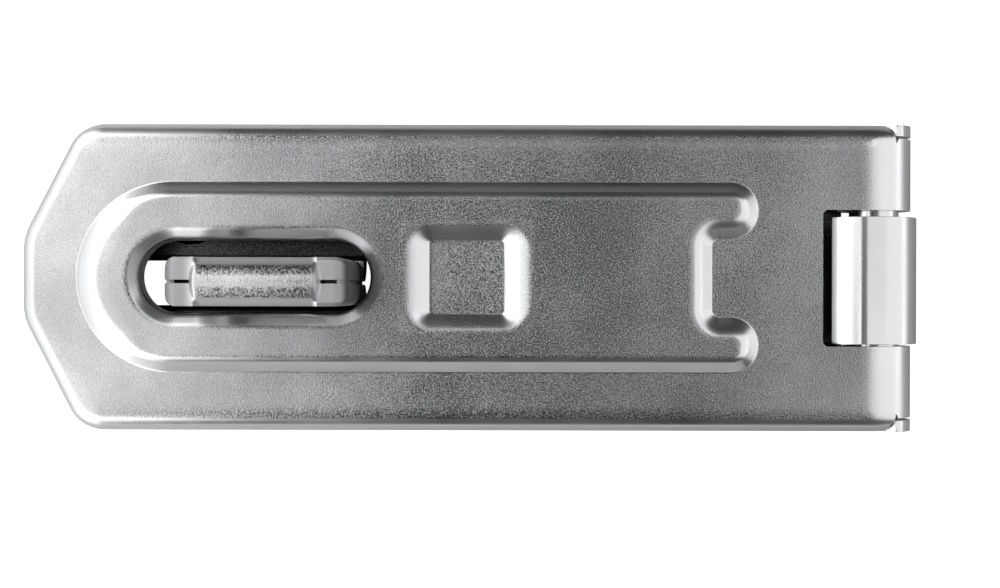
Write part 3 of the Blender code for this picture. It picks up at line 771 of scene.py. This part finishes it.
def loop_slit(side):
    """Cutter of the gap between the layers at one end, deep beside the fold and shallow past a web."""
    top, floor, web_top = STAPLE_HEIGHT, STAPLE_HEIGHT - SPLIT_DEPTH, STAPLE_HEIGHT - WEB_DROP
    split, far = FOLD_HALF + SPLIT_START, LOOP_HALF + CUT_PAST
    web, inset = LOOP_HALF - WEB_WIDTH, LOOP_HALF - FOLD_GROOVE
    slit = [(far, 0), (far, top), (split, top), (split, floor), (web, floor), (web, web_top),
            (inset, web_top), (inset, 0)]
    return prism("slit", [(side * x, z) for x, z in slit], -FOLD_GAP / 2, FOLD_GAP / 2, SIDE_ON)


def make_loop():
    """The standing loop: the folded top over two legs, with the eye and the split between the layers."""
    bm = bmesh.new()
    across = [math.sin(math.pi / 2 * i / ACROSS_STEPS) for i in range(-ACROSS_STEPS, ACROSS_STEPS + 1)]
    rows = []
    for x in loop_stations():
        half = loop_width(x)
        section = [(x, half * u, loop_height(x, half * u, half)) for u in across]
        rows.append(row(bm, [(x, -half, LOOP_FOOT)] + section + [(x, half, LOOP_FOOT)]))
    for a, b in zip(rows, rows[1:]):
        strip(bm, b, a)
    bm.faces.new(rows[0])
    bm.faces.new(rows[-1])
    bmesh.ops.recalc_face_normals(bm, faces=bm.faces)
    loop = mesh_object("staple", bm)
    boolean(loop, [loop_eye(), loop_slit(-1), loop_slit(1)])
    return loop


def flange_trim(end, side):
    """Cutter of the flange's upright and bend beyond one end of the loop."""
    beyond = FLANGE_HALF_LENGTH - LOOP_HALF + CUT_PAST
    inner = STAPLE_HALF + TRIM_PAST
    corners = rectangle(end * (LOOP_HALF + beyond / 2), side * inner / 2, (beyond, inner), 0)
    return prism("trim", plan(corners), -CUT_PAST, TRIM_TOP)


def make_flange(side):
    """A screw flange, bent out from the foot of one layer."""
    gap, bend, sheet = FOLD_GAP / 2, FLANGE_BEND_RADIUS, STAPLE_SHEET
    heel = bend + sheet
    section = [(PLATE_HALF_WIDTH, 0), (PLATE_HALF_WIDTH, sheet)]
    section += arc((STAPLE_HALF + bend, heel), bend, -math.pi / 2, -math.pi, FLANGE_INNER_STEPS)
    section += [(STAPLE_HALF, FLANGE_TOP), (gap, FLANGE_TOP)]
    section += arc((gap + heel, heel), heel, math.pi, math.pi * 1.5, FLANGE_OUTER_STEPS)
    points = [(side * y, z) for y, z in section]
    flange = prism("flange", points, -FLANGE_HALF_LENGTH, FLANGE_HALF_LENGTH, END_ON)
    trims = [flange_trim(end, side) for end in (-1, 1)]
    hole_x = FLANGE_HALF_LENGTH - SCREW_END
    boolean(flange, trims + [screw_hole(end * hole_x, side * SCREW_Y, sheet) for end in (-1, 1)])
    return flange


def make_staple():
    """The loop on its two flanges, moved to its place."""
    loop = make_loop()
    for side in (-1, 1):
        boolean(loop, [make_flange(side)], "UNION")
    round_edges(loop, STAPLE_EDGE_RADIUS)
    loop.data.transform(Matrix.Translation((STAPLE_X, STAPLE_Y, 0)))
    return loop


# Materials

def node(tree, kind, **settings):
    """A new node with its named inputs and settings."""
    made = tree.nodes.new(kind)
    for key, value in settings.items():
        if key in made.inputs:
            made.inputs[key].default_value = value
        else:
            setattr(made, key, value)
    return made


def remap(tree, source, low, high, to_low, to_high):
    """A smooth step of a value from one range to another."""
    made = node(tree, "ShaderNodeMapRange", interpolation_type="SMOOTHSTEP")
    for key, value in (("From Min", low), ("From Max", high), ("To Min", to_low), ("To Max", to_high)):
        made.inputs[key].default_value = value
    tree.links.new(source, made.inputs["Value"])
    return made.outputs["Result"]


def maths(tree, operation, first, second):
    made = node(tree, "ShaderNodeMath", operation=operation)
    tree.links.new(first, made.inputs[0])
    tree.links.new(second, made.inputs[1])
    return made.outputs[0]


def blend(tree, factor, first, second):
    """A colour that goes from a linked one to a fixed one."""
    made = node(tree, "ShaderNodeMix", data_type="RGBA")
    made.inputs["B"].default_value = second
    tree.links.new(factor, made.inputs["Factor"])
    tree.links.new(first, made.inputs["A"])
    return made.outputs["Result"]


def noise(tree, place, **settings):
    """A noise in the piece's own space."""
    made = node(tree, "ShaderNodeTexNoise", **settings)
    tree.links.new(place.outputs["Object"], made.inputs["Vector"])
    return made.outputs["Fac"]


def parts(tree, vector):
    """The node that splits a vector into X, Y and Z."""
    made = node(tree, "ShaderNodeSeparateXYZ")
    tree.links.new(vector, made.inputs["Vector"])
    return made


def within(tree, where, low, high, soft=RUB_FADE):
    """1 inside a box and 0 outside it, with soft edges. None leaves a side open."""
    inside = None
    for axis, low_end, high_end in zip("XYZ", low, high):
        for end, sign in ((low_end, 1), (high_end, -1)):
            if end is not None:
                past = remap(tree, where.outputs[axis], end - sign * soft, end + sign * soft, 0, 1)
                inside = maths(tree, "MULTIPLY", inside, past) if inside else past
    return inside


def tone(value):
    """A grey of plated zinc, a little blue."""
    return (value, 1.012 * value, 1.024 * value, 1)


def zinc(name, grains, smooth, sandy, burnished, steep, rubbed, grain_size=GRAIN, shade_boxes=()):
    """Bright zinc plate: sandy on the flats, burnished where the sheet was drawn or rolled, and darkened with
    painted shade in given boxes.

    grains is the tone of the dark and of the light grains and smooth that of burnished plate. sandy is
    (roughness of the dark grains, roughness of the light ones, relief) and burnished is (roughness, relief).
    steep is how level a face is (the upward part of its normal) where it is burnished and where it is sandy.
    rubbed lists boxes that are burnished though flat, and the last argument lists boxes of painted shade with
    their darker tones.
    """
    material = bpy.data.materials.new(name)
    material.use_nodes = True
    tree = material.node_tree
    link = tree.links.new
    shader = tree.nodes["Principled BSDF"]
    shader.inputs["Metallic"].default_value = 1
    place = node(tree, "ShaderNodeTexCoord")
    where = parts(tree, place.outputs["Object"])
    sand = noise(tree, place, Scale=1 / grain_size, Detail=2, Roughness=0.7)
    mottle = noise(tree, place, Scale=1 / grain_size, Detail=3, Roughness=0.75)
    cloud = noise(tree, place, Scale=CLOUD_SCALE, Detail=4, Roughness=0.55)

    burnish = remap(tree, parts(tree, place.outputs["Normal"]).outputs["Z"], *steep, 1, 0)
    for box in rubbed:
        burnish = maths(tree, "MAXIMUM", burnish, within(tree, where, *box))

    speck = node(tree, "ShaderNodeMix", data_type="RGBA")
    speck.inputs["A"].default_value = tone(grains[0])
    speck.inputs["B"].default_value = tone(grains[1])
    patch = remap(tree, cloud, *CLOUD_RANGE, -CLOUD_TONE, CLOUD_TONE)
    link(maths(tree, "ADD", remap(tree, mottle, *GRAIN_RANGE, 0, 1), patch), speck.inputs["Factor"])
    colour = blend(tree, burnish, speck.outputs["Result"], tone(smooth))
    # Painted shade: each box blends the colour towards its darker tone
    for box, shade_tone in shade_boxes:
        colour = blend(tree, within(tree, where, *box, SHADE_FADE), colour, tone(shade_tone))
    link(colour, shader.inputs["Base Color"])

    finish = node(tree, "ShaderNodeMix", data_type="FLOAT")
    finish.inputs["B"].default_value = burnished[0]
    link(remap(tree, mottle, *GRAIN_RANGE, sandy[0], sandy[1]), finish.inputs["A"])
    link(burnish, finish.inputs["Factor"])
    haze = remap(tree, cloud, *CLOUD_RANGE, -CLOUD_ROUGHNESS, CLOUD_ROUGHNESS)
    link(maths(tree, "ADD", finish.outputs["Result"], haze), shader.inputs["Roughness"])

    bump = node(tree, "ShaderNodeBump", Distance=GRAIN_DEPTH * grain_size)
    relief = remap(tree, burnish, 0, 1, sandy[2], burnished[1])
    uneven = remap(tree, mottle, *GRAIN_RANGE, *RELIEF_SPREAD)
    link(maths(tree, "MULTIPLY", relief, uneven), bump.inputs["Strength"])
    link(sand, bump.inputs["Height"])
    link(bump.outputs["Normal"], shader.inputs["Normal"])
    return material


def knuckle_box():
    """The knuckle and the pin, which are burnished all over."""
    return (LEAF_SHOULDER, None, HINGE_Z), (None, None, None)


def arm_zinc():
    """Sandy, with burnished bends, rolls and pocket walls."""
    rolls = ((ROLL_START + ROLL_RUB, None, None), (None, None, None), ROLL_FADE)
    dx, dy = POCKET_MOUTH[0] / 2, POCKET_MOUTH[1] / 2
    hollow = ((POCKET_X - dx, -dy, ARM_TOP + HOLLOW_RISE), (POCKET_X + dx, dy, PANEL_TOP))
    return zinc("arm_zinc", grains=(0.26, 0.44), smooth=0.7, sandy=(0.1, 0.34, 1.4), burnished=(0.3, 0.1),
                steep=SOFT_EDGE, rubbed=[rolls, hollow])


def leaf_zinc():
    """Lightly sandy, with a burnished knuckle and painted shade on the plate at its foot."""
    # Painted shade on the plate round the knuckle's foot, where the arm shades it
    foot = ((WINDOW_LEFT - FOOT_REACH, -HEEL_HALF_WIDTH, None),
            (HINGE_X - PIN_RADIUS, HEEL_HALF_WIDTH, LEAF_SHEET + FOOT_RISE))
    return zinc("leaf_zinc", grains=(0.4, 0.5), smooth=0.7, sandy=(0.24, 0.4, 0.4), burnished=(0.27, 0.06),
                steep=SOFT_EDGE, rubbed=[knuckle_box()], shade_boxes=[(foot, FOOT_SHADE_TONE)])


def pin_zinc():
    """Smooth all over."""
    return zinc("pin_zinc", grains=(0.62, 0.7), smooth=0.7, sandy=(0.22, 0.22, 0.05), burnished=(0.22, 0.05),
                steep=SOFT_EDGE, rubbed=[knuckle_box()])


def staple_zinc():
    """Coarse grain on the fold, dull sheared shoulders, and painted shade at the loop's ends and root."""
    left, right = STAPLE_X - FOLD_HALF, STAPLE_X + FOLD_HALF
    shoulders = [((None, None, EYE_BOTTOM), (left, None, None)),
                 ((right, None, EYE_BOTTOM), (None, None, None))]
    # Painted shade on the loop's upper ends: a darker left end, and a right end nearly black
    loop_left = ((None, None, EYE_BOTTOM), (left - LOOP_SHADE_SHIFT, None, None))
    loop_right = ((STAPLE_X + LOOP_HALF - LOOP_SHADE_SHIFT, None, EYE_BOTTOM), (None, None, None))
    # Painted shade on the flanges beside the loop's root, under the slot
    root = ((None, STAPLE_Y - ROOT_HALF_WIDTH, None),
            (None, STAPLE_Y + ROOT_HALF_WIDTH, STAPLE_SHEET + ROOT_RISE))
    shade_boxes = [(loop_left, LOOP_LEFT_SHADE_TONE), (loop_right, LOOP_RIGHT_SHADE_TONE), (root, ROOT_SHADE_TONE)]
    return zinc("staple_zinc", grains=(0.34, 0.66), smooth=0.55, sandy=(0.2, 0.4, 0.8), burnished=(0.5, 0.1),
                steep=FOLD_EDGE, rubbed=shoulders, grain_size=STAPLE_GRAIN, shade_boxes=shade_boxes)


def paper():
    """The pale floor, which glows where the camera sees it, so that it stays white under the part's edge."""
    material = bpy.data.materials.new("floor")
    material.use_nodes = True
    tree = material.node_tree
    shader = tree.nodes["Principled BSDF"]
    shader.inputs["Base Color"].default_value = FLOOR_COLOUR
    shader.inputs["Roughness"].default_value = FLOOR_ROUGHNESS
    shader.inputs["Emission Color"].default_value = WHITE
    path = node(tree, "ShaderNodeLightPath")
    glow = remap(tree, path.outputs["Is Camera Ray"], 0, 1, 0, FLOOR_GLOW)
    tree.links.new(glow, shader.inputs["Emission Strength"])
    return material


# Studio

def softbox(name, middle, distance, spread, brightness):
    """An evenly bright panel that faces the part."""
    tilt, turn = (math.radians(angle) for angle in middle)
    data = bpy.data.lights.new(name, "AREA")
    data.shape = "RECTANGLE"
    data.size, data.size_y = (2 * distance * math.tan(math.radians(angle) / 2) for angle in spread)
    data.energy = brightness * math.pi * data.size * data.size_y
    light = bpy.data.objects.new(name, data)
    aim = Matrix.Rotation(turn, 4, "Z") @ Matrix.Rotation(tilt, 4, "Y")
    light.matrix_world = aim @ Matrix.Translation((0, 0, distance))
    bpy.context.scene.collection.objects.link(light)


def studio():
    """A dark room that looks pale to the camera, the softboxes and the floor."""
    world = bpy.data.worlds.new("studio")
    bpy.context.scene.world = world
    world.use_nodes = True
    tree = world.node_tree
    path = node(tree, "ShaderNodeLightPath")
    seen = remap(tree, path.outputs["Is Camera Ray"], 0, 1, AMBIENT, BACKDROP)
    tree.links.new(seen, tree.nodes["Background"].inputs["Strength"])
    tree.nodes["Background"].inputs["Color"].default_value = WHITE
    for name, setting in SOFTBOXES.items():
        softbox(name, *setting)

    bm = bmesh.new()
    bmesh.ops.create_grid(bm, x_segments=2, y_segments=2, size=FLOOR_HALF_WIDTH)
    floor = mesh_object("floor", bm)
    floor.location.z = -FLOOR_DROP
    floor.data.materials.append(paper())


def camera():
    """A camera straight above the part, with the photograph's scale and slight roll."""
    data = bpy.data.cameras.new("camera")
    data.sensor_fit = "HORIZONTAL"
    data.lens = data.sensor_width * CAMERA_HEIGHT / (PHOTO_WIDTH * PHOTO_SCALE)
    data.clip_start = CLIP_START
    obj = bpy.data.objects.new("camera", data)
    obj.location = (CAMERA_X, CAMERA_Y, CAMERA_HEIGHT + SCALE_PLANE)
    obj.rotation_euler = (0, 0, PHOTO_ROLL)
    bpy.context.scene.collection.objects.link(obj)
    bpy.context.scene.camera = obj


def main():
    dress(make_arm(), "hasp_arm", "arm", arm_zinc())
    dress(make_leaf(), "hinge_leaf", "leaf", leaf_zinc())
    dress(make_pin(), "hinge_pin", "arm", pin_zinc())
    dress(make_staple(), "staple", "staple", staple_zinc())
    studio()
    camera()
    bpy.context.scene.view_settings.view_transform = "Standard"


main()
